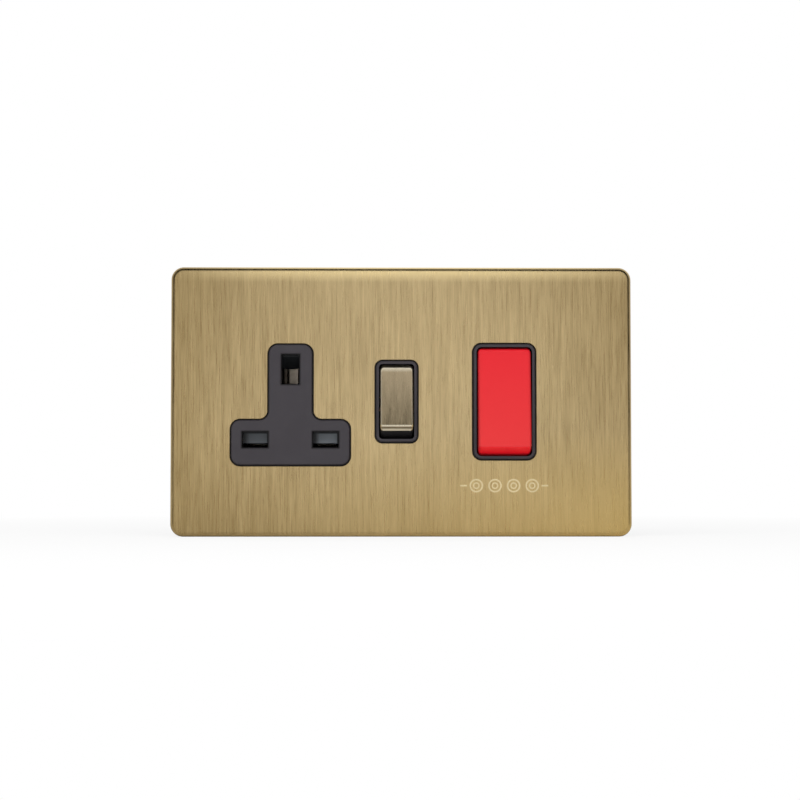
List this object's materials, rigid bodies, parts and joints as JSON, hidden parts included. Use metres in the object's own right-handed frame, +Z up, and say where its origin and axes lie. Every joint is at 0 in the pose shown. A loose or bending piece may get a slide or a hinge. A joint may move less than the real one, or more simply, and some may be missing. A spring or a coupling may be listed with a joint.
{
  "type": "cooker control unit",
  "caption": "Flat two-gang wall plate with a shuttered three-pin socket, its rocker switch and a large double-pole rocker, on a moulded frame and rear housing.",
  "frame": {"origin": "midway between the two box screws, in the plane of the wall", "axes": "+X to the right as seen from the room, +Y into the wall, +Z up"},
  "size_m": [0.146, 0.0332, 0.0854],
  "materials": {
    "antique_brass": "antique brass, brushed upright and lacquered",
    "black_moulding": "black urea moulding, soft gloss",
    "black_housing": "black moulding, fine spark texture",
    "black_nylon": "black nylon",
    "grey_moulding": "dark grey moulding",
    "red_moulding": "signal red, glossy",
    "white_nylon": "natural nylon",
    "spring_steel": "drawn spring wire",
    "zinc_steel": "zinc plated",
    "terminal_brass": "machined brass",
    "contact_bronze": "rolled phosphor bronze",
    "strap_copper": "rolled copper",
    "silver_contact": "silver alloy"
  },
  "bodies": {
    "frame": {"mounting_frame": "black_moulding", "socket_face": "black_moulding", "rear_housing": "black_housing", "contact_carrier": "black_housing", "housing_screws": "zinc_steel", "shutter_cover": "black_housing", "shutter_spring": "spring_steel", "earth_contact": "contact_bronze", "live_contact": "contact_bronze", "neutral_contact": "contact_bronze", "live_link": "strap_copper", "live_bar": "strap_copper", "neutral_bar": "strap_copper", "socket_fixed_contact": "strap_copper", "live_supply_contact": "strap_copper", "neutral_supply_contact": "strap_copper", "fixed_contact_tips": "silver_contact", "live_load_strap": "strap_copper", "neutral_load_strap": "strap_copper", "live_supply_terminal": "terminal_brass", "neutral_supply_terminal": "terminal_brass", "live_load_terminal": "terminal_brass", "neutral_load_terminal": "terminal_brass", "earth_terminal": "terminal_brass", "terminal_screws": "zinc_steel"},
    "front_plate": {"front_plate": "antique_brass", "plate_clips": "black_nylon"},
    "shutter": {"shutter": "grey_moulding"},
    "socket_rocker": {"socket_rocker": "black_moulding", "socket_rocker_cap": "antique_brass", "socket_plunger": "white_nylon", "socket_plunger_spring": "spring_steel"},
    "cooker_rocker": {"cooker_rocker": "red_moulding", "live_plunger": "white_nylon", "neutral_plunger": "white_nylon", "live_plunger_spring": "spring_steel", "neutral_plunger_spring": "spring_steel"},
    "socket_arm": {"socket_contact_arm": "strap_copper", "socket_contact_arm_tip": "silver_contact"},
    "cooker_live_arm": {"cooker_live_arm": "strap_copper", "cooker_live_arm_tip": "silver_contact"},
    "cooker_neutral_arm": {"cooker_neutral_arm": "strap_copper", "cooker_neutral_arm_tip": "silver_contact"}
  },
  "joints": [
    {"name": "plate_pull_off", "type": "slide", "parent": "frame", "child": "front_plate", "axis": [0, -1, 0], "range_m": [0, 0.012]},
    {"name": "socket_switch", "type": "hinge", "parent": "frame", "child": "socket_rocker", "pos_m": [-0.00155, 0.0018, 0], "axis": [1, 0, 0], "range_deg": [0, 18]},
    {"name": "cooker_switch", "type": "hinge", "parent": "frame", "child": "cooker_rocker", "pos_m": [0.03255, 0.0018, 0], "axis": [1, 0, 0], "range_deg": [0, 11.36]},
    {"name": "socket_arm_rock", "type": "hinge", "parent": "frame", "child": "socket_arm", "pos_m": [-0.00155, 0.01401, 0], "axis": [1, 0, 0], "range_deg": [-20, 0]},
    {"name": "live_arm_rock", "type": "hinge", "parent": "frame", "child": "cooker_live_arm", "pos_m": [0.03775, 0.01401, 0], "axis": [1, 0, 0], "range_deg": [-20, 0]},
    {"name": "neutral_arm_rock", "type": "hinge", "parent": "frame", "child": "cooker_neutral_arm", "pos_m": [0.02735, 0.01401, 0], "axis": [1, 0, 0], "range_deg": [-20, 0]},
    {"name": "shutter_lift", "type": "slide", "parent": "frame", "child": "shutter", "axis": [0, 0, 1], "range_m": [0, 0.00345], "stiffness_N_per_m": 100, "springref_m": -0.004, "deforming": ["shutter_spring"]}
  ],
  "couplings": [
    {"joint": "socket_arm_rock", "follows": "socket_switch", "ratio": -1.111},
    {"joint": "live_arm_rock", "follows": "cooker_switch", "ratio": -1.7605},
    {"joint": "neutral_arm_rock", "follows": "cooker_switch", "ratio": -1.7605}
  ]
}
